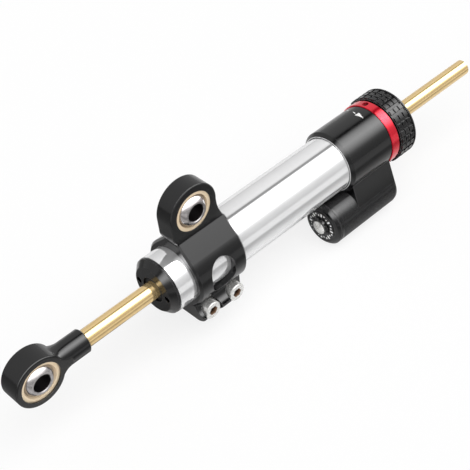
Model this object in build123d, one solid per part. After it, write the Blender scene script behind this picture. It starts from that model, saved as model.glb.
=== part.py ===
from build123d import *
import math
import os

os.makedirs("parts", exist_ok=True)

# Motorcycle steering damper with a through rod, in millimetres.
# X runs along the rod, from the rod end to the adjuster knob. Z is up.
# The origin is the centre of the spherical bearing in the clamp's lug.

# Fits and shared small sizes
fit = 0.02              # radial gap of parts that press or screw together
slip = 0.05             # gap of parts that turn or slide on each other
free_gap = 0.3          # gap round parts that never touch
overrun = 2.0           # how far a cut runs past the face it starts from
side_gap = 0.25         # room beside an O-ring in its groove

# Layout along the rod
axis_drop = 30.82       # rod axis below the clamp bearing
eye_reach = 85.4        # rod end bearing ahead of the clamp bearing
rod_tip = 186.5         # free end of the rod
tube_start = -19.2
tube_length = 116.2

# Rod, piston and tubes
rod_r = 4.0
rod_chamfer = 0.8
stud_r = 3.0            # threaded end of the rod
stud_length = 11.5
return_space = 0.8      # oil's way back between the inner cylinder and the tube
tube_wall = 1.5
cylinder_wall = 1.2
bore_r = 10.0           # bore that the piston runs in
port_r = 0.8
port_count = 6
port_offset = 1.6       # ports beyond the plug's end
piston_x = 44.0
piston_length = 12.0
piston_ring_width = 3.0
piston_ring_depth = 1.5
clip_thickness = 0.9
clip_depth = 0.4        # how deep a rod circlip sits in the rod
clip_height = 1.6       # how far a rod circlip stands out of the rod

# Rod glands, the same at both ends
bush_r = 5.5
bush_length = 7.5
seal_r = 6.6
seal_width = 3.0
wiper_r = 6.0
wiper_pocket = 2.9
wiper_width = 1.9
wiper_lip = 0.5
gland_wall = 1.4        # metal between the pockets of wiper and seal

# Front cap
cap_rim_step = 0.2      # cap's rim stands this far inside the tube's skin
cap_rim_length = 0.7
cap_groove_width = 0.3
cap_groove_depth = 0.4
cap_nose_length = 2.7
cap_bevel = 2.6
plug_length = 9.2
spigot_length = 3.0
spanner_r = 1.5
spanner_circle = 8.7
spanner_depth = 3.0
o_ring_r = 0.6

# Rear housing
tube_cover = 12.02      # length of tube that the rear housing covers
lip_wall = 0.6
lip_length = 1.82
housing_wall = 2.17
housing_back = 15.4     # housing behind the tube's end
housing_edge = 0.3
rear_plug_length = 9.0
rear_seat_length = 6.0
tube_seal_offset = 3.8  # tube's O-ring behind the lip
meter_r = 12.0          # pocket of the metering ring
meter_depth = 4.8
hub_r = 9.0             # hollow spigot that the knob turns on
hub_length = 14.8
gallery_r = 0.8
gallery_circle = 10.9
return_r = 0.6
return_circle = 9.3

# Side chamber, one piece with the rear housing
chamber_r = 10.8
chamber_gap = 0.7       # gap between the chamber and the tube
chamber_angle = 20.5    # how far it hangs round from straight below
chamber_lead = 26.0     # chamber's face ahead of the tube's end
chamber_joint = 2.3     # cap's head
chamber_tail = 15.8     # chamber behind the tube's end
chamber_edge = 1.5
chamber_bore = 8.0
chamber_floor = 2.2
relief_gap = 0.4        # turned clearance for the indicator ring
neck_blend = 1.2
link_offset = 1.5       # cross drilling behind the tube's seat
rib_pitch = 0.8
rib_depth = 0.25
rib_start = 1.6         # plain band between the joint and the first rib
band_width = 0.3

# Chamber cap, dial and needle
cap_shoulder = 2.2
cap_plug_length = 6.0
cap_plug_seal = 3.4     # O-ring behind the cap's shoulder
chamber_o_ring_r = 0.5
dial_r = 7.4
dial_thickness = 0.8
dial_proud = 0.3
dial_boss_r = 5.0
dial_boss_height = 1.7
dial_hub_r = 3.0
flute_count = 8
flute_r = 0.7
dome_r = 3.4
dome_height = 1.0
slot_width = 0.8
slot_depth = 0.7
needle_r = 1.6
needle_taper = 4.0
needle_point = 0.4
seat_offset = 2.0       # valve seat behind the cross drilling
seat_width = 2.0
seat_r = 1.0
float_offset = 8.0      # floating piston behind the cross drilling
float_length = 3.4
float_wall = 0.8

# Adjuster: metering ring, indicator ring and knob
ring_step = 0.53        # indicator ring outside the housing
ring_width = 4.8
ring_edge = 0.25
sleeve_r = 11.4         # knob's sleeve that carries the indicator ring
shadow_step = 0.9       # narrow neck between ring and knob
shadow_width = 0.7
knob_step = 1.0         # knob outside the indicator ring
knob_width = 10.4
tooth_height = 0.8
knob_chamfer = 0.5
knob_rim = 0.4
tooth_width = 2.15
tooth_gap = 0.8
tooth_rows = 3
tooth_count = 28
tooth_share = 0.6       # part of the pitch that a tooth fills
knob_recess_r = 11.6
knob_floor = 3.9        # depth of the recess behind the knob
snap_width = 1.1
snap_depth = 0.7
snap_height = 1.6
snap_mouth = 5.0
snap_offset = 1.5       # snap ring's groove from the spigot's end
drive_r = 0.7
drive_circle = 10.2
drive_reach = 2.4       # how far a drive pin enters the metering ring
meter_seal_offset = 1.2
meter_groove = 0.4
meter_sweep = 270
grub_r = 1.5
grub_length = 3.3
grub_key = 1.5
grub_sink = 0.9
grub_angle = 101
detent_r = 1.0
detent_circle = 13.6
detent_sink = 0.35
spring_wire = 0.18
spring_turns = 4
spring_length = 4.4

# Rod end
eye_r = 11.83
eye_half = 5.26
eye_edge = 0.7
shank_r = 5.45
shank_length = 9.5
shank_back = 25.1       # shank's rear face behind its own bearing
shank_edge = 0.5

# Spherical bearings
ball_r = 7.94
ball_half = 6.0
ball_bore = 4.0
ball_edge = 0.4
eye_race_r = 9.36
eye_race_half = 4.5
lug_race_r = 9.27
lug_race_half = 4.1
race_land = 1.5         # flat rim of a race
race_sink = 1.1         # depth of its bevelled mouth

# Clamp
clamp_wall = 2.9
clamp_start = -10.5
clamp_width = 27.0
clamp_edge = 1.0
lug_r = 12.63
lug_half = 4.4
lug_edge = 0.35
lug_waist = 12.3
lug_waist_drop = 7.5
lug_foot_drop = 11.6
lug_curve = 11.8
lug_curve_drop = 9.8
lug_back = 13.35
lug_back_drop = 6.8
window_r = 6.6
window_x = 2.8
window_top = 2.25       # centre of the window's upper round end
window_bottom = -1.4
ear_half = 16.3         # each ear flares out of the ring to a blunt tip
ear_root = (11.2, -12.0)
ear_flank = (12.9, -14.8)
ear_tip_top = -16.3
ear_tip_bottom = -17.4
ear_belly = (14.4, -19.3)
ear_bottom = -20.2
ear_flat = 10.5
ear_edge = 0.4
slit_half = 0.75
screw_r = 2.5
screw_length = 20.0
screw_spread = 14.2
screw_drop = 16.9
head_r = 4.25
head_length = 5.0
head_edge = 0.4
head_key = 2.0
head_key_depth = 2.6
pocket_r = 4.9
pocket_y = 10.0

# Places that follow from these sizes
tube_end = tube_start + tube_length
cylinder_r = bore_r + cylinder_wall
tube_bore = cylinder_r + return_space
tube_r = tube_bore + tube_wall
cap_rim_r = tube_r - cap_rim_step
lip_x = tube_end - tube_cover
lip_r = tube_r + lip_wall
housing_r = tube_r + housing_wall
housing_end = tube_end + housing_back
plug_front = tube_end - rear_plug_length
rear_shoulder = tube_end - rear_seat_length
clamp_r = tube_r + clamp_wall
shank_front = eye_reach - shank_back
ring_r = housing_r + ring_step
ring_relief = ring_r + relief_gap
shadow_r = ring_r - shadow_step
knob_r = ring_r + knob_step
knob_root = knob_r - tooth_height
eye_x = -eye_reach
front_shoulder = tube_start + plug_length
cavity_start = front_shoulder + spigot_length
cap_face = tube_start - cap_rim_length - cap_groove_width - cap_nose_length
hub_end = housing_end + hub_length
chamber_reach = tube_r + chamber_gap + chamber_r
chamber_y = -chamber_reach * math.sin(math.radians(chamber_angle))
chamber_z = -axis_drop - chamber_reach * math.cos(math.radians(chamber_angle))
chamber_front = tube_end - chamber_lead
chamber_end = tube_end + chamber_tail
neck_half = chamber_r - rib_depth
joint_x = chamber_front + chamber_joint
bore_end = chamber_end - chamber_floor
ring_start = housing_end + slip
ring_end = ring_start + ring_width
knob_start = ring_end + shadow_width
knob_end = knob_start + knob_width
snap_x = hub_end - snap_offset - snap_width
meter_start = housing_end - meter_depth + slip
meter_end = housing_end - slip
sleeve_start = housing_end + free_gap
clamp_end = clamp_start + clamp_width
clamp_mid = clamp_start + clamp_width / 2
front_port_x = cavity_start + port_offset
link_x = tube_end + link_offset
seat_x = link_x + seat_offset
float_x = link_x + float_offset


def post(r, height):
    return Cylinder(r, height, align=(Align.CENTER, Align.CENTER, Align.MIN))


def bar(start, end, r):
    return Pos(start, 0, 0) * Rot(0, 90, 0) * post(r, end - start)


def cross_bar(start, end, r, x=0, z=0):
    return Pos(x, start, z) * Rot(-90, 0, 0) * post(r, end - start)


def turned(outline):
    # outline is a closed run of (x, radius) points
    face = make_face(Polyline(*[(x, 0, r) for x, r in outline], close=True))
    return revolve(face, axis=Axis.X)


def sleeve(start, end, r, bore):
    return turned([(start, bore), (start, r), (end, r), (end, bore)])


def hoop(x, r, section):
    return Pos(x, 0, 0) * Rot(0, 90, 0) * Torus(r, section)


def around(shape, count):
    return [Rot(360 / count * n, 0, 0) * shape for n in range(count)]


def on_rod(shape):
    return Pos(0, 0, -axis_drop) * shape


def in_chamber(shape):
    return Pos(0, chamber_y, chamber_z) * shape


# Rod and piston


def damper_rod():
    groove_r = rod_r - clip_depth
    front = piston_x - piston_length / 2 - clip_thickness - fit
    rear = piston_x + piston_length / 2 + fit
    outline = [(-shank_front - stud_length, 0), (-shank_front - stud_length, stud_r)]
    outline += [(-shank_front, stud_r), (-shank_front, rod_r)]
    for x in (front, rear):
        outline += [(x - fit, rod_r), (x - fit, groove_r)]
        outline += [(x + clip_thickness + fit, groove_r), (x + clip_thickness + fit, rod_r)]
    outline += [(rod_tip - rod_chamfer, rod_r), (rod_tip, rod_r - rod_chamfer), (rod_tip, 0)]
    return on_rod(turned(outline))


def piston():
    half = piston_length / 2
    ring_half = piston_ring_width / 2
    outer = bore_r - 2 * slip
    floor = outer - piston_ring_depth
    outline = [(piston_x - half, rod_r + fit), (piston_x - half, outer)]
    outline += [(piston_x - ring_half, outer), (piston_x - ring_half, floor)]
    outline += [(piston_x + ring_half, floor), (piston_x + ring_half, outer)]
    outline += [(piston_x + half, outer), (piston_x + half, rod_r + fit)]
    return on_rod(turned(outline))


def piston_ring():
    half = piston_ring_width / 2 - slip
    floor = bore_r - 2 * slip - piston_ring_depth
    return on_rod(sleeve(piston_x - half, piston_x + half, bore_r - slip, floor + slip))


def piston_circlips():
    inner = rod_r - clip_depth + fit
    outer = rod_r + clip_height
    front = piston_x - piston_length / 2 - clip_thickness - fit
    rear = piston_x + piston_length / 2 + fit
    clips = [sleeve(x, x + clip_thickness, outer, inner) for x in (front, rear)]
    mouth = Pos(piston_x, 0, -outer) * Box(2 * piston_length, 2 * clip_height, 2 * clip_height)
    return on_rod(Part(children=[clip - mouth for clip in clips]))


# Tubes


def barrel_tube():
    return on_rod(sleeve(tube_start, tube_end, tube_r, tube_bore))


def inner_cylinder():
    body = sleeve(front_shoulder, rear_shoulder, cylinder_r, bore_r)
    port = Pos(front_port_x, 0, 0) * post(port_r, cylinder_r + overrun)
    return on_rod(body - around(port, port_count))


# Front cap and its gland


def front_cap():
    plug_r = tube_bore - fit
    floor = plug_r - 2 * o_ring_r - fit
    seal_x = (tube_start + front_shoulder) / 2
    half = o_ring_r + side_gap
    nose = tube_start - cap_rim_length - cap_groove_width
    rim = cap_rim_r - cap_groove_depth
    shaft = rod_r + free_gap
    wiper_end = cap_face + wiper_pocket
    seal_start = wiper_end + gland_wall
    seal_end = seal_start + seal_width
    outline = [(cap_face, wiper_r), (cap_face, cap_rim_r - cap_bevel), (cap_face + cap_bevel, cap_rim_r)]
    outline += [(nose, cap_rim_r), (nose, rim), (nose + cap_groove_width, rim)]
    outline += [(nose + cap_groove_width, cap_rim_r), (tube_start, cap_rim_r), (tube_start, plug_r)]
    outline += [(seal_x - half, plug_r), (seal_x - half, floor), (seal_x + half, floor)]
    outline += [(seal_x + half, plug_r), (front_shoulder, plug_r), (front_shoulder, bore_r - fit)]
    outline += [(cavity_start, bore_r - fit), (cavity_start, bush_r)]
    outline += [(cavity_start - bush_length, bush_r), (cavity_start - bush_length, shaft)]
    outline += [(seal_end, shaft), (seal_end, seal_r), (seal_start, seal_r), (seal_start, shaft)]
    outline += [(wiper_end, shaft), (wiper_end, wiper_r)]
    body = turned(outline)
    hole = bar(cap_face - overrun, cap_face + spanner_depth, spanner_r)
    return on_rod(body - [Pos(0, side * spanner_circle, 0) * hole for side in (-1, 1)])


def front_o_ring():
    seal_x = (tube_start + front_shoulder) / 2
    return on_rod(hoop(seal_x, tube_bore - fit - o_ring_r, o_ring_r - fit))


def bush(start):
    return on_rod(sleeve(start, start + bush_length - fit, bush_r - fit, rod_r + slip))


def rod_seal(start):
    return on_rod(sleeve(start + fit, start + seal_width - fit, seal_r - fit, rod_r + slip))


def wiper(floor_x, outward):
    # the lip is the narrow end that faces out of the gland
    root = floor_x + outward * fit
    face = floor_x + outward * wiper_width
    lip = face + outward * wiper_lip
    outline = [(root, wiper_r - fit), (root, rod_r + free_gap), (face, rod_r + slip), (lip, rod_r + slip)]
    outline += [(lip, rod_r + free_gap), (face, wiper_r - wiper_lip), (face, wiper_r - fit)]
    return on_rod(turned(outline))


# Rear housing with the side chamber


def ribbed_chamber():
    first = joint_x + rib_start
    count = int((chamber_end - chamber_edge - first) / rib_pitch)
    low = chamber_r - rib_depth
    outline = [(joint_x, 0), (joint_x, low), (joint_x + band_width, low), (joint_x + band_width, chamber_r)]
    for n in range(count):
        crest = first + n * rib_pitch
        outline += [(crest, chamber_r), (crest + rib_pitch / 2, low)]
    outline += [(first + count * rib_pitch, chamber_r), (chamber_end - chamber_edge, chamber_r)]
    outline += [(chamber_end, chamber_r - chamber_edge), (chamber_end, 0)]
    return in_chamber(turned(outline))


def neck():
    # flat sided web, flush with the chamber's sides and blended into the housing
    barrel = Pos(0, -chamber_reach) * Circle(chamber_r - rib_depth)
    web = Pos(0, -chamber_reach / 2) * Rectangle(2 * neck_half, chamber_reach)
    section = Circle(housing_r - fit) + barrel + web
    corners = [v for v in section.vertices() if abs(abs(v.X) - neck_half) < neck_blend / 4]
    corners = [v for v in corners if v.Y > -housing_r]
    section = fillet(corners, neck_blend)
    start = lip_x + lip_length
    web = extrude(Plane.YZ * Rot(0, 0, -chamber_angle) * section, housing_end - start)
    return Pos(start, 0, -axis_drop) * web


def housing_body():
    # outside, hub and pocket of the metering ring, then the bore from the back to the tube's seat
    plug_r = tube_bore - fit
    socket = tube_r + fit
    shaft = rod_r + free_gap
    pocket_x = housing_end - meter_depth
    snap_floor = hub_r - snap_depth
    snap_end = snap_x + snap_width + fit
    wiper_start = hub_end - wiper_pocket
    seal_end = wiper_start - gland_wall
    seal_start = seal_end - seal_width
    seal_x = lip_x + tube_seal_offset
    half = o_ring_r + side_gap
    roof = socket + 2 * o_ring_r + side_gap / 2
    outline = [(lip_x, socket), (lip_x, lip_r), (lip_x + lip_length, housing_r)]
    outline += [(housing_end - housing_edge, housing_r), (housing_end, housing_r - housing_edge)]
    outline += [(housing_end, meter_r), (pocket_x, meter_r), (pocket_x, hub_r), (snap_x - fit, hub_r)]
    outline += [(snap_x - fit, snap_floor), (snap_end, snap_floor), (snap_end, hub_r)]
    outline += [(hub_end - housing_edge, hub_r), (hub_end, hub_r - housing_edge), (hub_end, wiper_r)]
    outline += [(wiper_start, wiper_r), (wiper_start, shaft), (seal_end, shaft), (seal_end, seal_r)]
    outline += [(seal_start, seal_r), (seal_start, shaft), (plug_front + bush_length, shaft)]
    outline += [(plug_front + bush_length, bush_r), (plug_front, bush_r), (plug_front, bore_r - fit)]
    outline += [(rear_shoulder, bore_r - fit), (rear_shoulder, plug_r), (tube_end, plug_r)]
    outline += [(tube_end, socket), (seal_x + half, socket), (seal_x + half, roof)]
    outline += [(seal_x - half, roof), (seal_x - half, socket)]
    return on_rod(turned(outline))


def rear_housing():
    relief = on_rod(bar(housing_end, chamber_end + overrun, ring_relief))
    core = on_rod(bar(lip_x + lip_length, housing_end + overrun, housing_r - housing_edge))
    side = ribbed_chamber() + neck() - relief - core
    side -= in_chamber(bar(joint_x - overrun, bore_end, chamber_bore))
    return housing_body() + side - drillings()


def drillings():
    # oil gallery, return port, link to the chamber, and the blind hole of the detent
    pocket_x = housing_end - meter_depth
    gallery = Pos(0, 0, -gallery_circle) * bar(rear_shoulder - overrun, pocket_x + fit, gallery_r)
    link = Pos(link_x, 0, -chamber_reach) * post(gallery_r, chamber_reach - gallery_circle)
    port = Pos(0, 0, return_circle) * bar(plug_front - overrun, pocket_x + fit, return_r)
    below = Rot(-chamber_angle, 0, 0)
    hole_start = housing_end - spring_length - 2 * detent_r
    detent = Pos(0, 0, detent_circle) * bar(hole_start, housing_end + overrun, detent_r + slip)
    return [on_rod(below * gallery), on_rod(below * link), on_rod(port), on_rod(detent)]


def tube_o_ring():
    return on_rod(hoop(lip_x + tube_seal_offset, tube_r + fit + o_ring_r, o_ring_r - fit))


# Side chamber's cap, dial, needle and floating piston


def reservoir_cap():
    plug_r = chamber_bore - fit
    floor = plug_r - 2 * chamber_o_ring_r - fit
    seal_x = joint_x + cap_plug_seal
    half = chamber_o_ring_r + side_gap
    plate_x = chamber_front + dial_thickness - dial_proud
    hole = needle_r + slip
    low = chamber_r - rib_depth
    outline = [(plate_x, hole), (plate_x, dial_r + fit), (chamber_front, dial_r + fit)]
    outline += [(chamber_front, chamber_r - cap_shoulder)]
    outline += [(chamber_front + cap_shoulder / 4, chamber_r - cap_shoulder / 2)]
    outline += [(joint_x - 2 * band_width, chamber_r), (joint_x - band_width, chamber_r)]
    outline += [(joint_x - band_width, low), (joint_x, low), (joint_x, plug_r), (seal_x - half, plug_r)]
    outline += [(seal_x - half, floor), (seal_x + half, floor), (seal_x + half, plug_r)]
    outline += [(joint_x + cap_plug_length, plug_r), (joint_x + cap_plug_length, hole)]
    return in_chamber(turned(outline))


def cap_o_ring():
    r = chamber_bore - fit - chamber_o_ring_r
    return in_chamber(hoop(joint_x + cap_plug_seal, r, chamber_o_ring_r - fit))


def dial_plate():
    start = chamber_front - dial_proud
    return in_chamber(sleeve(start, start + dial_thickness, dial_r, dial_hub_r + slip))


def dial_knob():
    # fluted boss, with a hub that turns in the dial plate
    root = chamber_front - dial_proud
    face = root - slip - dial_boss_height
    outline = [(face, needle_r + fit), (face, dial_boss_r - flute_r), (face + flute_r, dial_boss_r)]
    outline += [(root - slip, dial_boss_r), (root - slip, dial_hub_r)]
    outline += [(root + dial_thickness - slip, dial_hub_r), (root + dial_thickness - slip, needle_r + fit)]
    flute = Pos(0, dial_boss_r, 0) * bar(face - overrun, root + overrun, flute_r)
    return in_chamber(turned(outline) - around(flute, flute_count))


def dial_screw():
    # slotted dome that holds the boss on the needle
    face = chamber_front - dial_proud - slip - dial_boss_height - fit
    sphere_r = (dome_r ** 2 + dome_height ** 2) / (2 * dome_height)
    cap = Pos(face - dome_height + sphere_r, 0, 0) * Sphere(sphere_r)
    dome = cap & bar(face - dome_height - overrun, face, dome_r)
    slot = Pos(face - dome_height, 0, 0) * Box(2 * slot_depth, slot_width, 2 * (dome_r + overrun))
    return in_chamber(dome - slot)


def needle():
    start = chamber_front - dial_proud - dial_boss_height
    tip = seat_x + seat_width / 2
    outline = [(start, 0), (start, needle_r), (tip - needle_taper, needle_r), (tip, needle_point), (tip, 0)]
    return in_chamber(turned(outline))


def valve_seat():
    rear = seat_x + seat_width
    outline = [(seat_x, seat_r + free_gap), (seat_x, chamber_bore - fit), (rear, chamber_bore - fit)]
    outline += [(rear, seat_r), (seat_x + seat_width / 2, seat_r)]
    return in_chamber(turned(outline))


def floating_piston():
    outer = chamber_bore - slip
    floor = outer - 2 * chamber_o_ring_r - fit
    front = float_x - float_length / 2
    rear = float_x + float_length / 2
    half = chamber_o_ring_r + side_gap
    outline = [(front, 0), (front, outer), (float_x - half, outer), (float_x - half, floor)]
    outline += [(float_x + half, floor), (float_x + half, outer), (rear, outer), (rear, floor - float_wall)]
    outline += [(front + float_wall, floor - float_wall), (front + float_wall, 0)]
    return in_chamber(turned(outline))


def floating_o_ring():
    r = chamber_bore - slip - chamber_o_ring_r
    return in_chamber(hoop(float_x, r, chamber_o_ring_r - fit))


# Adjuster


def metering_ring():
    outer = meter_r - slip
    floor = outer - 2 * chamber_o_ring_r - fit
    seal_x = meter_start + meter_seal_offset
    half = chamber_o_ring_r + side_gap / 2
    bore = hub_r + slip
    outline = [(meter_start, bore), (meter_start, outer), (seal_x - half, outer), (seal_x - half, floor)]
    outline += [(seal_x + half, floor), (seal_x + half, outer), (meter_end, outer), (meter_end, bore)]
    body = turned(outline)
    # curved slot that opens and closes the oil way as the ring turns
    depth = meter_start + meter_groove
    inner = return_circle - return_r
    outer = gallery_circle + return_r
    corners = [(meter_start, 0, inner), (meter_start, 0, outer), (depth, 0, outer), (depth, 0, inner)]
    slot = revolve(make_face(Polyline(*corners, close=True)), axis=Axis.X, revolution_arc=meter_sweep)
    return on_rod(body - slot - drive_holes())


def drive_holes():
    hole = Pos(0, 0, drive_circle) * bar(meter_end - drive_reach - fit, knob_start, drive_r + fit)
    return around(hole, 2)


def metering_o_ring():
    r = meter_r - slip - chamber_o_ring_r
    return on_rod(hoop(meter_start + meter_seal_offset, r, chamber_o_ring_r - fit))


def drive_pins():
    pin = Pos(0, 0, drive_circle) * bar(meter_end - drive_reach, knob_start - fit, drive_r)
    return on_rod(Part(children=around(pin, 2)))


def indicator_ring():
    bore = sleeve_r + fit
    outline = [(ring_start, bore), (ring_start, ring_r - ring_edge), (ring_start + ring_edge, ring_r)]
    outline += [(ring_end - ring_edge, ring_r), (ring_end, ring_r - ring_edge), (ring_end, bore)]
    track = hoop(housing_end - detent_sink, detent_circle, detent_r + slip)
    return on_rod(turned(outline) - track - at_grub(post(grub_r + fit, ring_r + overrun)))


def at_grub(shape):
    middle = (ring_start + ring_end) / 2
    return Pos(middle, 0, 0) * Rot(90 - grub_angle, 0, 0) * shape


def ring_grub_screw():
    top = ring_r - grub_sink
    body = Pos(0, 0, top - grub_length) * post(grub_r, grub_length)
    key = extrude(RegularPolygon(grub_key / 2, 6, major_radius=False), grub_length / 2)
    return on_rod(at_grub(body - Pos(0, 0, top - grub_length / 2 + fit) * key))


def adjuster_knob():
    bore = hub_r + slip
    floor_x = knob_end - knob_floor
    rim_start = knob_start + knob_rim + tooth_rows * (tooth_width + tooth_gap)
    outline = [(sleeve_start, bore), (sleeve_start, sleeve_r), (ring_end, sleeve_r), (ring_end, shadow_r)]
    outline += [(knob_start, shadow_r), (knob_start, knob_root)]
    for n in range(tooth_rows):
        row = knob_start + knob_rim + n * (tooth_width + tooth_gap)
        outline += [(row, knob_root), (row, knob_r)]
        outline += [(row + tooth_width, knob_r), (row + tooth_width, knob_root)]
    outline += [(rim_start, knob_root), (rim_start, knob_r)]
    outline += [(knob_end - knob_chamfer, knob_r), (knob_end, knob_r - knob_chamfer)]
    outline += [(knob_end, knob_recess_r), (floor_x, knob_recess_r), (floor_x, bore)]
    pitch = 2 * math.pi * knob_r / tooth_count
    cut_width = pitch * (1 - tooth_share)
    cut_length = rim_start - tooth_gap / 2 - knob_start + overrun
    cut = Pos(knob_start - overrun, 0, knob_root) * Box(
        cut_length, cut_width, overrun, align=(Align.MIN, Align.CENTER, Align.MIN))
    return on_rod(turned(outline) - around(cut, tooth_count) - drive_holes())


def knob_circlip():
    inner = hub_r - snap_depth + fit
    ring = sleeve(snap_x, snap_x + snap_width, hub_r + snap_height, inner)
    mouth = Box(4 * snap_width, snap_mouth, 2 * (snap_height + snap_depth + overrun))
    mouth = Pos(snap_x, 0, -hub_r) * mouth
    return on_rod(ring - mouth)


def detent_ball():
    return on_rod(Pos(housing_end - detent_sink, 0, detent_circle) * Sphere(detent_r))


def detent_spring():
    coil_r = detent_r - spring_wire - fit
    length = spring_length - 2 * spring_wire
    path = Helix(length / spring_turns, length, coil_r)
    wire = sweep(Plane(path @ 0, z_dir=path % 0) * Circle(spring_wire), path=path, is_frenet=True)
    end = housing_end - detent_sink - detent_r - spring_length + spring_wire
    return on_rod(Pos(end, 0, detent_circle) * Rot(0, 90, 0) * wire)


# Spherical bearings


def ball(x, z):
    body = Sphere(ball_r) & Box(2 * ball_r, 2 * ball_half, 2 * ball_r)
    body -= cross_bar(-ball_r, ball_r, ball_bore)
    rims = body.edges().filter_by(GeomType.CIRCLE).filter_by(lambda e: abs(e.radius - ball_bore) < fit)
    return Pos(x, 0, z) * chamfer(rims, ball_edge)


def race(r, half, x, z):
    # a ring whose hollow fits the ball, with a bevelled mouth on each side
    body = cross_bar(-half, half, r)
    body -= Sphere(ball_r + slip)
    neck_y = half - race_sink
    neck_r = math.sqrt((ball_r + slip) ** 2 - neck_y ** 2)
    rim = r - race_land
    corners = [(0, neck_y), (neck_r, neck_y), (rim, half), (rim, half + overrun), (0, half + overrun)]
    mouth = revolve(make_face(Polyline(*corners, close=True)), axis=Axis.Y)
    body -= [mouth, mirror(mouth, about=Plane.XZ)]
    return Pos(x, 0, z) * body


# Rod end


def rod_end_housing():
    # centred on the eye: the plate between eye and shank is waisted as if turned down on a lathe
    reach = eye_reach - shank_front - shank_length
    end = reach + shank_length
    blend_r = (reach ** 2 + shank_r ** 2 - eye_r ** 2) / (2 * (eye_r - shank_r))
    eye = cross_bar(-eye_half, eye_half, eye_r)
    eye = fillet(eye.edges().filter_by(GeomType.CIRCLE), eye_edge)
    centre = Vector(reach, shank_r + blend_r)
    top = (reach - blend_r, shank_r + blend_r)
    curve = blend_arc(centre, Vector(reach, shank_r), Vector(*top))
    flare = [curve, Polyline(top, (0, top[1]), (0, 0), (reach, 0), (reach, shank_r))]
    flare = revolve(make_face(flare), axis=Axis.X)
    touch = centre * (eye_r / centre.length)
    curve = blend_arc(centre, Vector(reach, shank_r), touch)
    side = make_face([curve, Polyline((touch.X, touch.Y), (0, 0), (reach, 0), (reach, shank_r))])
    plate = extrude(Plane.XZ * (side + mirror(side, about=Plane.XZ)), eye_half, both=True)
    shank = bar(reach, end, shank_r)
    shank = chamfer(shank.faces().sort_by(Axis.X)[-1].edges(), shank_edge)
    body = eye + (plate & flare) + shank
    body -= cross_bar(-eye_r, eye_r, eye_race_r + fit)
    body -= bar(end - stud_length - free_gap, end + overrun, stud_r + fit)
    return Pos(eye_x, 0, -axis_drop) * body


def blend_arc(centre, start, end):
    half_way = ((start - centre) + (end - centre)).normalized() * (start - centre).length
    return ThreePointArc(start, centre + half_way, end)


# Clamp


def clamp_section():
    corner = clamp_r / math.sqrt(2)
    height = clamp_r * math.sqrt(2) - lug_half
    roof = [(-corner, corner), (-lug_half, height), (lug_half, height), (corner, corner)]
    roof = make_face(Polyline(*roof, close=True))
    return Circle(clamp_r) + roof


def ears():
    # both ears in one section: concave flank, blunt tip, rounded belly and flat underside
    flank = ThreePointArc(ear_root, ear_flank, (ear_half, ear_tip_top))
    tip = Line((ear_half, ear_tip_top), (ear_half, ear_tip_bottom))
    belly = ThreePointArc((ear_half, ear_tip_bottom), ear_belly, (ear_flat, ear_bottom))
    base = Polyline((ear_flat, ear_bottom), (0, ear_bottom), (0, -tube_r), ear_root)
    half = make_face([flank, tip, belly, base])
    block = extrude(Plane.YZ * (half + mirror(half, about=Plane.YZ)), clamp_width)
    block = chamfer(block.faces().filter_by(Axis.X).edges(), ear_edge)
    return Pos(clamp_start, 0, -axis_drop) * block


def lug():
    inner = clamp_end - clamp_edge
    floor = -axis_drop + tube_r
    waist = (-lug_waist, -lug_waist_drop)
    front_foot = (clamp_start, -lug_foot_drop)
    rear_foot = (inner, -lug_foot_drop)
    edges = [Line((-lug_r, 0), waist), ThreePointArc(waist, (-lug_curve, -lug_curve_drop), front_foot)]
    edges += [Polyline(front_foot, (clamp_start + clamp_edge, floor), (inner, floor), rear_foot)]
    edges += [ThreePointArc(rear_foot, (lug_back, -lug_back_drop), (lug_r, 0))]
    edges += [Line((lug_r, 0), (-lug_r, 0))]
    body = extrude(Plane.XZ * (Circle(lug_r) + make_face(edges)), lug_half, both=True)
    rims = [e for e in body.edges() if abs(abs(e.center().Y) - lug_half) < fit]
    rims = [e for e in rims if e.center().Z > -lug_foot_drop]
    return chamfer(rims, lug_edge)


def clamp_body():
    body = extrude(Plane.YZ * clamp_section(), clamp_width)
    ends = body.faces().filter_by(Axis.X)
    body = chamfer(ends.edges(), clamp_edge)
    body = Pos(clamp_start, 0, -axis_drop) * body + ears() + lug()
    body -= on_rod(bar(clamp_start - overrun, clamp_end + overrun, tube_r + slip))
    body -= cross_bar(-lug_half - overrun, lug_half + overrun, lug_race_r + fit)
    window = SlotCenterToCenter(window_top - window_bottom, 2 * window_r, rotation=90)
    window = Pos(window_x, (window_top + window_bottom) / 2) * window
    body -= on_rod(extrude(Plane.XZ * window, ear_half + overrun, both=True))
    below = (Align.CENTER, Align.CENTER, Align.MAX)
    slit = Box(clamp_width + 2 * overrun, 2 * slit_half, -ear_bottom, align=below)
    body -= Pos(clamp_mid, 0, -axis_drop - overrun) * slit
    for x in screw_places():
        z = -axis_drop - screw_drop
        body -= cross_bar(-ear_half - overrun, -pocket_y, pocket_r, x, z)
        body -= cross_bar(-pocket_y - overrun, screw_length - pocket_y + free_gap, screw_r + slip, x, z)
    # the rear screw's pocket runs out of the clamp's rear face
    corner = (Align.MIN, Align.MAX, Align.CENTER)
    mouth = Box(clamp_width, ear_half, 2 * pocket_r, align=corner)
    return body - Pos(x, -pocket_y, z) * mouth


def screw_places():
    return [clamp_mid - screw_spread / 2, clamp_mid + screw_spread / 2]


def clamp_screw(x):
    head = cross_bar(-pocket_y - head_length, -pocket_y, head_r)
    head = chamfer(head.faces().sort_by(Axis.Y)[0].edges(), head_edge)
    key = extrude(Plane.XZ * RegularPolygon(head_key, 6, major_radius=False), head_key_depth + overrun)
    head -= Pos(0, -pocket_y - head_length + head_key_depth, 0) * key
    shank = cross_bar(-pocket_y, screw_length - pocket_y, screw_r)
    return Pos(x, 0, -axis_drop - screw_drop) * (head + shank)


def clamp_screws():
    return Part(children=[clamp_screw(x) for x in screw_places()])


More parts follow.
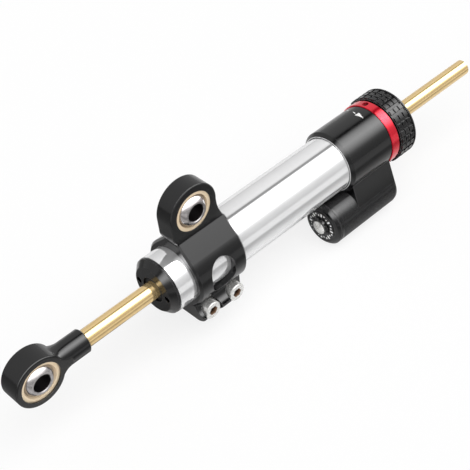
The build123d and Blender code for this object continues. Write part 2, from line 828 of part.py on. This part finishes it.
front_wiper_floor = cap_face + wiper_pocket
rear_wiper_floor = hub_end - wiper_pocket
pieces = {
    "damper_rod": damper_rod(),
    "piston": piston(),
    "piston_ring": piston_ring(),
    "piston_circlips": piston_circlips(),
    "barrel_tube": barrel_tube(),
    "inner_cylinder": inner_cylinder(),
    "front_cap": front_cap(),
    "front_o_ring": front_o_ring(),
    "front_bush": bush(cavity_start - bush_length),
    "front_rod_seal": rod_seal(front_wiper_floor + gland_wall),
    "front_wiper": wiper(front_wiper_floor, -1),
    "rear_housing": rear_housing(),
    "rear_bush": bush(plug_front),
    "rear_rod_seal": rod_seal(rear_wiper_floor - gland_wall - seal_width),
    "rear_wiper": wiper(rear_wiper_floor, 1),
    "tube_o_ring": tube_o_ring(),
    "reservoir_cap": reservoir_cap(),
    "cap_o_ring": cap_o_ring(),
    "dial_plate": dial_plate(),
    "dial_knob": dial_knob(),
    "dial_screw": dial_screw(),
    "needle": needle(),
    "valve_seat": valve_seat(),
    "floating_piston": floating_piston(),
    "floating_o_ring": floating_o_ring(),
    "metering_ring": metering_ring(),
    "metering_o_ring": metering_o_ring(),
    "drive_pins": drive_pins(),
    "indicator_ring": indicator_ring(),
    "ring_grub_screw": ring_grub_screw(),
    "adjuster_knob": adjuster_knob(),
    "knob_circlip": knob_circlip(),
    "detent_ball": detent_ball(),
    "detent_spring": detent_spring(),
    "rod_end_housing": rod_end_housing(),
    "rod_end_race": race(eye_race_r, eye_race_half, eye_x, -axis_drop),
    "rod_end_ball": ball(eye_x, -axis_drop),
    "clamp_body": clamp_body(),
    "clamp_race": race(lug_race_r, lug_race_half, 0, 0),
    "clamp_ball": ball(0, 0),
    "clamp_screws": clamp_screws(),
}
for name, piece in pieces.items():
    export_step(piece, f"parts/{name}.step")
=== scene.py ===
import math

import bpy
from mathutils import Matrix, Vector


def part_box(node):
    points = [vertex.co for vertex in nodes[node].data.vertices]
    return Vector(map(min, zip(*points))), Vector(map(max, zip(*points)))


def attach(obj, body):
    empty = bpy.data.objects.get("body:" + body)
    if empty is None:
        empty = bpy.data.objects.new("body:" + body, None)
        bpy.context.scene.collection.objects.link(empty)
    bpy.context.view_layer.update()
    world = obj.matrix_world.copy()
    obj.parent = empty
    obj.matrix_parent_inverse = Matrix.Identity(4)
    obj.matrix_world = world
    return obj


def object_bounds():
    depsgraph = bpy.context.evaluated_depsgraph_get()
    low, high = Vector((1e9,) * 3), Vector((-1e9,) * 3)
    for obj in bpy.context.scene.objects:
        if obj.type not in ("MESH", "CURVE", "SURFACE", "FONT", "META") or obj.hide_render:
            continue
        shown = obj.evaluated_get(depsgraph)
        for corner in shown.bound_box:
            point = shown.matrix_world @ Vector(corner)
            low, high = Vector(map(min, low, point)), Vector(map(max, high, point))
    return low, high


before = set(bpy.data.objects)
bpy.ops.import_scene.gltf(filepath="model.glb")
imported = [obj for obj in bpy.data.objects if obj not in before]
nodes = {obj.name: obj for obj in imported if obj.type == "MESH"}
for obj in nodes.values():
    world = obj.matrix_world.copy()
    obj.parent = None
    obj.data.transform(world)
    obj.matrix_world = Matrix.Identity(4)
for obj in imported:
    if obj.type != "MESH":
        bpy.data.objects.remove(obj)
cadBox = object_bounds()
mm = 0.001
rodAxis = -30.82 * mm  # height of the rod's axis
chamberAxis = (-8.755 * mm, -54.237 * mm)  # y and z of the side chamber's axis
print("frame loaded:", len(nodes), "CAD nodes")


def linear(hexColour):  # sRGB hex to the linear colour that Blender's sockets take
    parts = [int(hexColour[i:i + 2], 16) / 255 for i in (1, 3, 5)]
    linearParts = [c / 12.92 if c <= 0.04045 else ((c + 0.055) / 1.055) ** 2.4 for c in parts]
    return tuple(linearParts) + (1.0,)


def addNode(tree, kind, inputs=None, **settings):  # a node with its settings, values and links
    node = tree.nodes.new(kind)
    for name, value in settings.items():
        setattr(node, name, value)
    for socket, value in (inputs or {}).items():
        if isinstance(value, bpy.types.NodeSocket):
            tree.links.new(value, node.inputs[socket])
        else:
            node.inputs[socket].default_value = value
    return node


def emptyTree(owner):
    owner.use_nodes = True
    owner.node_tree.nodes.clear()
    return owner.node_tree


# Camera, at the photograph's viewing angle
cameraLook = {"lens": 88.0, "sensor": 36.0, "clip": (0.01, 30),
              "place": (-0.21726, -0.27636, 0.30846),
              "right": (0.71005, -0.70123, -0.06414), "up": (0.51289, 0.45261, 0.72944),
              "back": (-0.48248, -0.55084, 0.68103)}
cameraData = bpy.data.cameras.new("photoCamera")
cameraData.lens = cameraLook["lens"]
cameraData.sensor_width = cameraLook["sensor"]
cameraData.clip_start, cameraData.clip_end = cameraLook["clip"]
camera = bpy.data.objects.new("photoCamera", cameraData)
bpy.context.scene.collection.objects.link(camera)
axes = [Vector(cameraLook[k]).normalized() for k in ("right", "up", "back")]
turned = Matrix(axes).transposed().to_4x4()
camera.matrix_world = Matrix.Translation(cameraLook["place"]) @ turned
bpy.context.scene.camera = camera
bpy.context.scene.view_settings.view_transform = "Standard"
print("camera placed")

# Studio: strip softboxes lie along the damper, so the world's light goes round its length.
# Each stop is an angle from straight up towards the camera's side, and how bright it is there.
# What is lit but doesn't mirror gets softLevel of it.
studio = {"stops": [(-90, 0.6), (-60, 0.7), (-40, 0.8), (-26, 0.8), (-20, 0.5), (-18, 0.0),
                    (-11, 0.0), (-9, 0.6), (0, 3.2), (8, 4.8), (24, 6.4), (38, 4.6), (50, 2.4),
                    (58, 0.95), (68, 0.6), (90, 0.42)],
          "brightest": 6.4, "softLevel": 0.44}
# The floor looks white to the camera. In reflections it is its own lit and shaded paint, with
# painted
# reflection shade over it: darker in a band on the camera's side, light again far beyond that,
# and dark in a patch ahead of the front cap.
floorLook = {"colour": "#f6f6f6", "half": 4.0, "drop": 0.05 * mm, "cameraGlow": 0.8,
             "mirrored": 0.88, "sideReflectionShade": 0.32, "farReflectionLevel": 0.85, "aheadReflectionShade": 0.35,
             "shadeBandSpan": (-14 * mm, -70 * mm), "lightBandSpan": (-72 * mm, -112 * mm),
             "shadePatchSide": (-2 * mm, -14 * mm), "shadePatchEnd": (-22 * mm, -34 * mm)}
white = (1, 1, 1, 1)


def buildWorld():
    world = bpy.data.worlds.new("softboxStudio")
    bpy.context.scene.world = world
    tree = emptyTree(world)
    where = addNode(tree, "ShaderNodeTexCoord")
    parts = addNode(tree, "ShaderNodeSeparateXYZ", {"Vector": where.outputs["Generated"]})
    side = addNode(tree, "ShaderNodeMath", {0: parts.outputs["Y"], 1: -1.0}, operation="MULTIPLY")
    angle = addNode(tree, "ShaderNodeMath", {0: side.outputs[0], 1: parts.outputs["Z"]},
                    operation="ARCTAN2")
    turn = addNode(tree, "ShaderNodeMapRange", {
        "Value": angle.outputs[0], "From Min": -math.pi / 2, "From Max": math.pi / 2})
    ramp = addNode(tree, "ShaderNodeValToRGB", {"Fac": turn.outputs["Result"]})
    stops = ramp.color_ramp.elements
    while len(stops) < len(studio["stops"]):
        stops.new(0.5)
    degrees, levels = zip(*studio["stops"])
    for stop, place in zip(stops, degrees):  # the ramp runs from -90 to 90 degrees
        stop.position = (place + 90) / 180
    for stop, level in zip(stops, levels):
        share = level / studio["brightest"]
        stop.color = (share, share, share, 1)
    path = addNode(tree, "ShaderNodeLightPath")
    level = addNode(tree, "ShaderNodeMapRange", {
        "Value": path.outputs["Is Glossy Ray"],
        "To Min": studio["brightest"] * studio["softLevel"], "To Max": studio["brightest"]})
    strips = addNode(tree, "ShaderNodeBackground", {
        "Color": ramp.outputs["Color"], "Strength": level.outputs["Result"]})
    backdrop = addNode(tree, "ShaderNodeBackground", {"Color": white, "Strength": 1.0})
    mixed = addNode(tree, "ShaderNodeMixShader", {
        0: path.outputs["Is Camera Ray"], 1: strips.outputs[0], 2: backdrop.outputs[0]})
    addNode(tree, "ShaderNodeOutputWorld", {"Surface": mixed.outputs[0]})


def buildFloor():
    bpy.ops.mesh.primitive_plane_add(size=2 * floorLook["half"],
                                     location=(0, 0, cadBox[0].z - floorLook["drop"]))
    floor = bpy.context.object
    floor.name = "studioFloor"
    paint = bpy.data.materials.new("matteFloorPaint")
    tree = emptyTree(paint)
    where = addNode(tree, "ShaderNodeTexCoord")
    parts = addNode(tree, "ShaderNodeSeparateXYZ", {"Vector": where.outputs["Object"]})
    # Bands of painted reflection shade that only reflections see: a dark band on the camera's
    # side, light again far beyond it, and a dark patch ahead of the front cap
    zones = (("Y", "shadeBandSpan", 1.0, floorLook["sideReflectionShade"]),
             ("Y", "lightBandSpan", 0.0, floorLook["farReflectionLevel"]),
             ("Y", "shadePatchSide", 0.0, 1.0),
             ("X", "shadePatchEnd", 1.0, floorLook["aheadReflectionShade"]))
    sideShade, far, beyond, end = [addNode(tree, "ShaderNodeMapRange", {
        "Value": parts.outputs[axis], "From Min": floorLook[name][0],
        "From Max": floorLook[name][1], "To Min": start, "To Max": stop},
        interpolation_type="SMOOTHSTEP").outputs[0] for axis, name, start, stop in zones]
    sideShade = addNode(tree, "ShaderNodeMath", {0: sideShade, 1: far}, operation="MAXIMUM")
    aheadShade = addNode(tree, "ShaderNodeMath", {0: beyond, 1: end}, operation="MAXIMUM")
    level = addNode(tree, "ShaderNodeMath", {0: sideShade.outputs[0], 1: aheadShade.outputs[0]},
                    operation="MULTIPLY")
    path = addNode(tree, "ShaderNodeLightPath")
    # The share of the floor that reflections see painted dark, as painted reflection shade
    paintedReflectionShade = addNode(tree, "ShaderNodeMath", {
        0: level.outputs[0], 1: -floorLook["mirrored"], 2: 1.0}, operation="MULTIPLY_ADD")
    direct = addNode(tree, "ShaderNodeMath", {
        0: path.outputs["Is Camera Ray"], 1: floorLook["cameraGlow"]}, operation="MULTIPLY")
    glow = addNode(tree, "ShaderNodeMath", {
        0: path.outputs["Is Glossy Ray"], 1: paintedReflectionShade.outputs[0], 2: direct.outputs[0]},
        operation="MULTIPLY_ADD")
    matte = addNode(tree, "ShaderNodeBsdfDiffuse", {"Color": linear(floorLook["colour"])})
    light = addNode(tree, "ShaderNodeEmission", {
        "Color": white, "Strength": path.outputs["Is Camera Ray"]})
    mixed = addNode(tree, "ShaderNodeMixShader", {
        0: glow.outputs[0], 1: matte.outputs[0], 2: light.outputs[0]})
    addNode(tree, "ShaderNodeOutputMaterial", {"Surface": mixed.outputs[0]})
    floor.data.materials.append(paint)


bpy.ops.object.select_all(action="DESELECT")
buildWorld()
buildFloor()
print("studio built")

# Finishes. Every one reads Object coordinates, in metres, so a pattern's scale is one over its
# real size. Each pattern has its noise here, and its depth as a share of its size.
noise = {"grain": {"Detail": 3.0, "Roughness": 0.6}, "cloud": {"Detail": 4.0, "Roughness": 0.55},
         "rings": {"Detail": 2.0, "Roughness": 0.7}, "haze": {"Detail": 5.0, "Roughness": 0.6},
         "pits": {"Detail": 4.0, "Roughness": 0.7}, "bloom": {"Detail": 3.0, "Roughness": 0.5}}
depth = {"grain": 0.12, "rings": 0.2, "pits": 0.3}
noiseSpread = {"From Min": 0.3, "From Max": 0.7}  # the values that a noise mostly takes
# An edge gets its painted highlight and rub by how far the rounded normal turns from the face's,
# as a cosine
edges = {"samples": 6, "turned": {"From Min": 0.96, "From Max": 0.8}, "cutReach": 0.16 * mm}
wells = {"rim": 0.06 * mm, "fade": 0.1 * mm, "rough": 0.5}


def anodisedBlack(name, look):
    # Aluminium, machined, bead blasted and black anodised: a satin black skin, a fine grain that
    # breaks the reflection up, and edges painted grey: a painted highlight, and rub where the dye
    # layer is thin
    material = bpy.data.materials.new(name)
    tree = emptyTree(material)
    where = addNode(tree, "ShaderNodeTexCoord").outputs["Object"]
    soft = addNode(tree, "ShaderNodeBevel", {"Radius": look["edge"]}, samples=edges["samples"])
    faces = addNode(tree, "ShaderNodeNewGeometry")
    flatness = addNode(tree, "ShaderNodeVectorMath", {
        0: soft.outputs[0], 1: faces.outputs["Normal"]}, operation="DOT_PRODUCT")
    # Grey on the edges is a painted highlight, together with rub wear
    edgeShineAndRub = addNode(tree, "ShaderNodeMapRange", {
        "Value": flatness.outputs["Value"], "To Max": look["shineRubShare"], **edges["turned"]})
    grain = addNode(tree, "ShaderNodeTexNoise", {
        "Vector": where, "Scale": 1 / look["grain"], **noise["grain"]})
    cloud = addNode(tree, "ShaderNodeTexNoise", {
        "Vector": where, "Scale": 1 / look["cloud"], **noise["cloud"]})
    dye = addNode(tree, "ShaderNodeMix", {
        "Factor": cloud.outputs["Fac"], "A": linear(look["dark"]), "B": linear(look["light"])},
        data_type="RGBA")
    dyeAndEdgeShine = addNode(tree, "ShaderNodeMix", {
        "Factor": edgeShineAndRub.outputs["Result"], "A": dye.outputs["Result"],
        "B": linear(look["shineRubColour"])}, data_type="RGBA")
    if "cutEdge" in look:  # the lip's face was trimmed after the dye, so it is bright
        parts = addNode(tree, "ShaderNodeSeparateXYZ", {"Vector": where})
        start, end, reach = look["cutEdge"]
        along = addNode(tree, "ShaderNodeMath", {
            0: parts.outputs["X"], 1: (start + end) / 2, 2: (end - start) / 2},
            operation="COMPARE")
        across = addNode(tree, "ShaderNodeVectorMath", {0: where, 1: (0, 1, 1)},
                         operation="MULTIPLY")
        out = addNode(tree, "ShaderNodeVectorMath", {0: across.outputs[0], 1: (0, 0, rodAxis)},
                      operation="DISTANCE")
        near = addNode(tree, "ShaderNodeMath", {
            0: out.outputs["Value"], 1: reach, 2: edges["cutReach"]}, operation="COMPARE")
        trimmed = addNode(tree, "ShaderNodeMath", {0: along.outputs[0], 1: near.outputs[0]},
                          operation="MULTIPLY")
        dyeAndEdgeShine = addNode(tree, "ShaderNodeMix", {
            "Factor": trimmed.outputs[0], "A": dyeAndEdgeShine.outputs["Result"],
            "B": linear(look["cut"])}, data_type="RGBA")
    sheen = addNode(tree, "ShaderNodeMapRange", {
        "Value": cloud.outputs["Fac"], "To Min": look["smooth"], "To Max": look["rough"],
        **noiseSpread})
    bump = addNode(tree, "ShaderNodeBump", {
        "Height": grain.outputs["Fac"], "Strength": look["bump"],
        "Distance": look["grain"] * depth["grain"], "Normal": soft.outputs[0]})
    skin = addNode(tree, "ShaderNodeBsdfPrincipled", {
        "Base Color": dyeAndEdgeShine.outputs["Result"], "Metallic": 0.0,
        "Roughness": sheen.outputs["Result"], "Specular IOR Level": look["gloss"],
        "Normal": bump.outputs[0]})
    addNode(tree, "ShaderNodeOutputMaterial", {"Surface": skin.outputs[0]})
    return material


def insideWells(tree, where, look):  # 1 inside the holes that run along Y, 0 elsewhere
    flat = addNode(tree, "ShaderNodeVectorMath", {0: where, 1: (1, 0, 1)}, operation="MULTIPLY")
    nearest = None
    for x, z in look["wells"]:
        reach = addNode(tree, "ShaderNodeVectorMath", {0: flat.outputs[0], 1: (x, 0, z)},
                        operation="DISTANCE").outputs["Value"]
        nearest = reach if nearest is None else addNode(
            tree, "ShaderNodeMath", {0: nearest, 1: reach}, operation="MINIMUM").outputs[0]
    within = addNode(tree, "ShaderNodeMapRange", {
        "Value": nearest, "From Min": look["wellSize"] + wells["rim"],
        "From Max": look["wellSize"]})
    parts = addNode(tree, "ShaderNodeSeparateXYZ", {"Vector": where})
    below = addNode(tree, "ShaderNodeMapRange", {
        "Value": parts.outputs["Y"], "From Min": look["wellTop"],
        "From Max": look["wellTop"] + wells["fade"]})
    return addNode(tree, "ShaderNodeMath", {0: within.outputs[0], 1: below.outputs[0]},
                   operation="MULTIPLY").outputs[0]


def turnedMetal(name, look):
    # A lathe-turned or ground metal: rings of tool marks round the X axis, a soft haze of uneven
    # polish, and colour that drifts a little. A finishing cut leaves a ring every 0.1 mm or so,
    # drawn at 0.2 to 0.4 mm so that it shows.
    material = bpy.data.materials.new(name)
    tree = emptyTree(material)
    where = addNode(tree, "ShaderNodeTexCoord").outputs["Object"]
    parts = addNode(tree, "ShaderNodeSeparateXYZ", {"Vector": where})
    rings = addNode(tree, "ShaderNodeTexNoise", {
        "W": parts.outputs["X"], "Scale": 1 / look["rings"], **noise["rings"]},
        noise_dimensions="1D")
    haze = addNode(tree, "ShaderNodeTexNoise", {
        "Vector": where, "Scale": 1 / look["haze"], **noise["haze"]})
    tint = addNode(tree, "ShaderNodeMix", {
        "Factor": haze.outputs["Fac"], "A": linear(look["dark"]), "B": linear(look["light"])},
        data_type="RGBA").outputs["Result"]
    polish = addNode(tree, "ShaderNodeMapRange", {
        "Value": haze.outputs["Fac"], "To Min": look["smooth"], "To Max": look["rough"],
        **noiseSpread}).outputs["Result"]
    if "wells" in look:
        inside = insideWells(tree, where, look)
        # Painted shade in the wells: the colour darkens from the mouth towards the floor
        shadeByDepth = addNode(tree, "ShaderNodeMapRange", {
            "Value": parts.outputs["Y"], "From Min": look["wellTop"],
            "From Max": look["wellTop"] + look["wellDepth"]})
        depthTintAndShade = addNode(tree, "ShaderNodeMix", {
            "Factor": shadeByDepth.outputs[0], "A": linear(look["wellMouthTintAndShade"]),
            "B": linear(look["wellFloorTintAndShade"])}, data_type="RGBA")
        tint = addNode(tree, "ShaderNodeMix", {
            "Factor": inside, "A": tint, "B": depthTintAndShade.outputs["Result"]},
            data_type="RGBA").outputs["Result"]
        polish = addNode(tree, "ShaderNodeMapRange", {
            "Value": inside, "To Min": polish, "To Max": wells["rough"]}).outputs["Result"]
    bump = addNode(tree, "ShaderNodeBump", {
        "Height": rings.outputs["Fac"], "Strength": look["bump"],
        "Distance": look["rings"] * depth["rings"]})
    skin = addNode(tree, "ShaderNodeBsdfPrincipled", {
        "Base Color": tint, "Metallic": look["metal"], "Roughness": polish,
        "Normal": bump.outputs[0], **look.get("coat", {})})
    addNode(tree, "ShaderNodeOutputMaterial", {"Surface": skin.outputs[0]})
    return material


def mouldedSoft(name, look):
    # Rubber or plastic from a mould, or a coat of paint: matt, with a fine pitted skin and a
    # dusty bloom
    material = bpy.data.materials.new(name)
    tree = emptyTree(material)
    where = addNode(tree, "ShaderNodeTexCoord").outputs["Object"]
    pits = addNode(tree, "ShaderNodeTexNoise", {
        "Vector": where, "Scale": 1 / look["pits"], **noise["pits"]})
    bloom = addNode(tree, "ShaderNodeTexNoise", {
        "Vector": where, "Scale": 1 / look["bloom"], **noise["bloom"]})
    tint = addNode(tree, "ShaderNodeMix", {
        "Factor": bloom.outputs["Fac"], "A": linear(look["dark"]), "B": linear(look["light"])},
        data_type="RGBA")
    bump = addNode(tree, "ShaderNodeBump", {
        "Height": pits.outputs["Fac"], "Strength": look["bump"],
        "Distance": look["pits"] * depth["pits"]})
    skin = addNode(tree, "ShaderNodeBsdfPrincipled", {
        "Base Color": tint.outputs["Result"], "Roughness": look["rough"],
        "Normal": bump.outputs[0]})
    addNode(tree, "ShaderNodeOutputMaterial", {"Surface": skin.outputs[0]})
    return material


# Wells are painted dark inside as shade: the bores of the two balls and the sockets of the
# screws, as x and z
eyeReach = 85.4 * mm
clampMiddle = 3 * mm
screwAside, screwDrop = 7.1 * mm, 16.9 * mm
bores = [(0, 0), (-eyeReach, rodAxis)]
sockets = [(clampMiddle + side * screwAside, rodAxis - screwDrop) for side in (-1, 1)]
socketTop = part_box("clamp_screws")[0].y + 0.05 * mm
finishes = {
    # bodies: blasted with 0.1 mm glass beads, drawn at 0.3 mm so that it shows
    "black_anodised": anodisedBlack("blackAnodisedAluminium", {
        "dark": "#030304", "light": "#080809", "shineRubColour": "#8c8c8e", "edge": 0.25 * mm, "shineRubShare": 0.45,
        "grain": 0.3 * mm, "cloud": 9 * mm, "bump": 0.06, "smooth": 0.14, "rough": 0.2,
        "gloss": 0.55, "cutEdge": (84.9 * mm, 85.1 * mm, 14.0 * mm), "cut": "#dededf"}),
    # clear anodise over a honed tube: milky, so nearly a third of it scatters
    "silver_anodised": turnedMetal("silverAnodisedAluminium", {
        "dark": "#f2f2f3", "light": "#fdfdfd", "metal": 0.7, "rings": 0.25 * mm,
        "haze": 12 * mm, "bump": 0.03, "smooth": 0.04, "rough": 0.07}),
    # ground steel rod with a gold titanium nitride coat
    "gold_rod": turnedMetal("goldTitaniumNitride", {
        "dark": "#eecb8e", "light": "#f8dca4", "metal": 0.74, "rings": 0.2 * mm,
        "haze": 8 * mm, "bump": 0.03, "smooth": 0.07, "rough": 0.11}),
    # red dye under a sealed anodise, so a clear gloss lies over the colour
    "red_anodised": turnedMetal("redAnodisedAluminium", {
        "dark": "#e00a24", "light": "#ee1638", "metal": 0.66, "rings": 0.2 * mm,
        "haze": 5 * mm, "bump": 0.03, "smooth": 0.15, "rough": 0.2,
        "coat": {"Coat Weight": 0.6, "Coat Roughness": 0.07}}),
    # turned brass that has dulled, so it scatters more than it mirrors
    "bearing_brass": turnedMetal("machinedBrass", {
        "dark": "#fcdcb0", "light": "#fff0d6", "metal": 0.25, "rings": 0.3 * mm,
        "haze": 3 * mm, "bump": 0.02, "smooth": 0.18, "rough": 0.26}),
    # pressed from powder: open pores 1 mm apart hold the oil
    "bronze": turnedMetal("sinteredBronze", {
        "dark": "#8a5a30", "light": "#b0804c", "metal": 1.0, "rings": 0.3 * mm, "haze": 1 * mm,
        "bump": 0.2, "smooth": 0.38, "rough": 0.5}),
    # ball ground and lapped to a mirror; its bore is dull and painted dark as shade, and goes
    # right through, so the well starts a metre away
    "bearing_chrome": turnedMetal("polishedChrome", {
        "dark": "#aaa6a6", "light": "#bebaba", "metal": 0.9, "rings": 0.4 * mm, "haze": 4 * mm,
        "bump": 0.01, "smooth": 0.16, "rough": 0.22, "wells": bores, "wellSize": 4.06 * mm,
        "wellTop": -1.0, "wellDepth": 1.0, "wellMouthTintAndShade": "#2a2628", "wellFloorTintAndShade": "#2a2628"}),
    # zinc plate over a forged head, with oil left in the key's socket that browns it, and painted
    # shade darkening the socket towards its floor
    "zinc_steel": turnedMetal("zincPlatedSteel", {
        "dark": "#dededc", "light": "#f6f5f2", "metal": 0.7, "rings": 0.3 * mm, "haze": 2 * mm,
        "bump": 0.06, "smooth": 0.2, "rough": 0.32, "wells": sockets, "wellSize": 2.5 * mm,
        "wellTop": socketTop, "wellDepth": 2.2 * mm, "wellMouthTintAndShade": "#c8a488",
        "wellFloorTintAndShade": "#4a3628"}),
    # hardened and tempered: grey with a blue cast
    "spring_steel": turnedMetal("bluedSpringSteel", {
        "dark": "#5c5f66", "light": "#82858c", "metal": 1.0, "rings": 0.3 * mm, "haze": 2 * mm,
        "bump": 0.05, "smooth": 0.25, "rough": 0.38}),
    # an oxide skin, oiled: dark, with little mirror
    "black_steel": turnedMetal("blackOxideSteel", {
        "dark": "#141416", "light": "#2a2a2c", "metal": 0.4, "rings": 0.3 * mm, "haze": 2 * mm,
        "bump": 0.1, "smooth": 0.32, "rough": 0.45}),
    # bare and turned: bright, with clear tool marks
    "piston_metal": turnedMetal("machinedAluminium", {
        "dark": "#c4c6c8", "light": "#dcdddf", "metal": 1.0, "rings": 0.25 * mm,
        "haze": 4 * mm, "bump": 0.12, "smooth": 0.24, "rough": 0.34}),
    # pits of the mould's skin, really about 0.05 mm
    "seal_rubber": mouldedSoft("nitrileRubber", {
        "dark": "#0c0c0d", "light": "#1c1c1e", "pits": 0.2 * mm, "bloom": 2 * mm, "bump": 0.2,
        "rough": 0.55}),
    # brown, from the bronze powder in it
    "piston_plastic": mouldedSoft("bronzeFilledFluoroplastic", {
        "dark": "#4c4238", "light": "#6a5c4c", "pits": 0.25 * mm, "bloom": 2 * mm,
        "bump": 0.15, "rough": 0.5}),
    # as the bodies, but a thin stamped plate, so duller
    "dial_print": anodisedBlack("blackDialPlate", {
        "dark": "#0c0c0e", "light": "#1a1a1c", "shineRubColour": "#8a8a8c", "edge": 0.12 * mm, "shineRubShare": 0.5,
        "grain": 0.25 * mm, "cloud": 3 * mm, "bump": 0.1, "smooth": 0.3, "rough": 0.4,
        "gloss": 0.7}),
}
for node in nodes.values():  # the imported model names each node's material after its slot
    node.data.materials[0] = finishes[node.data.materials[0].name.split(".")[0]]
print("finishes made:", len(finishes))

# White paint of the marks, printed 0.03 mm thick
markPaint = mouldedSoft("whiteMarkPaint", {
    "dark": "#f0f0ee", "light": "#ffffff", "pits": 0.15 * mm, "bloom": 0.8 * mm, "bump": 0.15,
    "rough": 0.45})
printThick = 0.03 * mm


def addPiece(name, body):  # the active object becomes a finished piece
    piece = bpy.context.object
    piece.name = name
    piece.data.name = name
    bpy.ops.object.transform_apply(location=True, rotation=True, scale=True)
    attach(piece, body)
    bpy.ops.object.select_all(action="DESELECT")


# Printed arrow and dashes on the rear housing. Each outline's corners are a place along the rod
# in mm and an angle from straight up towards the camera's side.
arrow = {"marks": {"arrow_mark": [(106.5, 10.6), (105.55, -5.6), (108.15, -3.9)],
                   "arrow_dash": [(106.45, -8.2), (107.1, -15.1), (107.55, -14.8),
                                  (106.9, -7.9)],
                   "arrow_point": [(108.1, -29.4), (108.3, -34.2), (108.75, -33.9),
                                   (108.55, -29.1)]},
         "skin": 15.67 * mm, "lift": 0.015 * mm, "cuts": 4}


def buildArrow():
    for name, corners in arrow["marks"].items():
        bpy.ops.mesh.primitive_circle_add(vertices=len(corners), radius=mm, fill_type="NGON")
        mark = bpy.context.object
        for vertex, (x, degrees) in zip(mark.data.vertices, corners):
            vertex.co = (x * mm, -arrow["skin"] * math.radians(degrees), 0)
        bpy.ops.object.mode_set(mode="EDIT")
        bpy.ops.mesh.select_all(action="SELECT")
        bpy.ops.mesh.quads_convert_to_tris()
        bpy.ops.mesh.subdivide(number_cuts=arrow["cuts"])
        bpy.ops.mesh.extrude_region_move(TRANSFORM_OT_translate={"value": (0, 0, printThick)})
        bpy.ops.mesh.select_all(action="SELECT")
        bpy.ops.mesh.normals_make_consistent(inside=False)
        bpy.ops.object.mode_set(mode="OBJECT")
        for vertex in mark.data.vertices:  # wrap it round the housing
            turn = -vertex.co.y / arrow["skin"]
            high = arrow["skin"] + arrow["lift"] + vertex.co.z
            vertex.co = (vertex.co.x, -high * math.sin(turn), rodAxis + high * math.cos(turn))
        mark.data.materials.append(markPaint)
        addPiece(name, "barrel")


# Scale round the chamber's dial: a long stroke, a short stroke and a dot by turns. Each kind has
# its inner and outer end and its width in mm, and the angle of its first mark.
scale = {"face": 70.7 * mm, "count": 8, "weld": 0.001 * mm,
         "strokes": {"dial_long_strokes": (5.4, 7.2, 0.8, 0),
                     "dial_short_strokes": (5.6, 6.5, 0.6, 15),
                     "dial_dots": (6.3, 7.1, 0.7, 30)}}


def buildScale():
    y, z = chamberAxis
    copies = scale["count"] - 1
    for name, (inner, outer, width, start) in scale["strokes"].items():
        bpy.ops.mesh.primitive_plane_add(size=1, location=(0, 0, 0))
        stroke = bpy.context.object
        turn = math.radians(start)
        for vertex in stroke.data.vertices:
            reach = (inner + (vertex.co.x + 0.5) * (outer - inner)) * mm
            across = vertex.co.y * width * mm
            vertex.co = (scale["face"], y + reach * math.sin(turn) + across * math.cos(turn),
                         z + reach * math.cos(turn) - across * math.sin(turn))
        bpy.ops.object.mode_set(mode="EDIT")
        bpy.ops.mesh.select_all(action="SELECT")
        bpy.ops.mesh.extrude_region_move(TRANSFORM_OT_translate={"value": (-printThick, 0, 0)})
        bpy.ops.mesh.select_all(action="SELECT")
        bpy.ops.mesh.spin(steps=copies, dupli=True, angle=2 * math.pi * copies / scale["count"],
                          center=(0, y, z), axis=(1, 0, 0))
        bpy.ops.mesh.select_all(action="SELECT")
        bpy.ops.mesh.remove_doubles(threshold=scale["weld"])
        bpy.ops.mesh.normals_make_consistent(inside=False)
        bpy.ops.object.mode_set(mode="OBJECT")
        stroke.data.materials.append(markPaint)
        addPiece(name, "barrel")


buildArrow()
buildScale()
print("marks made")
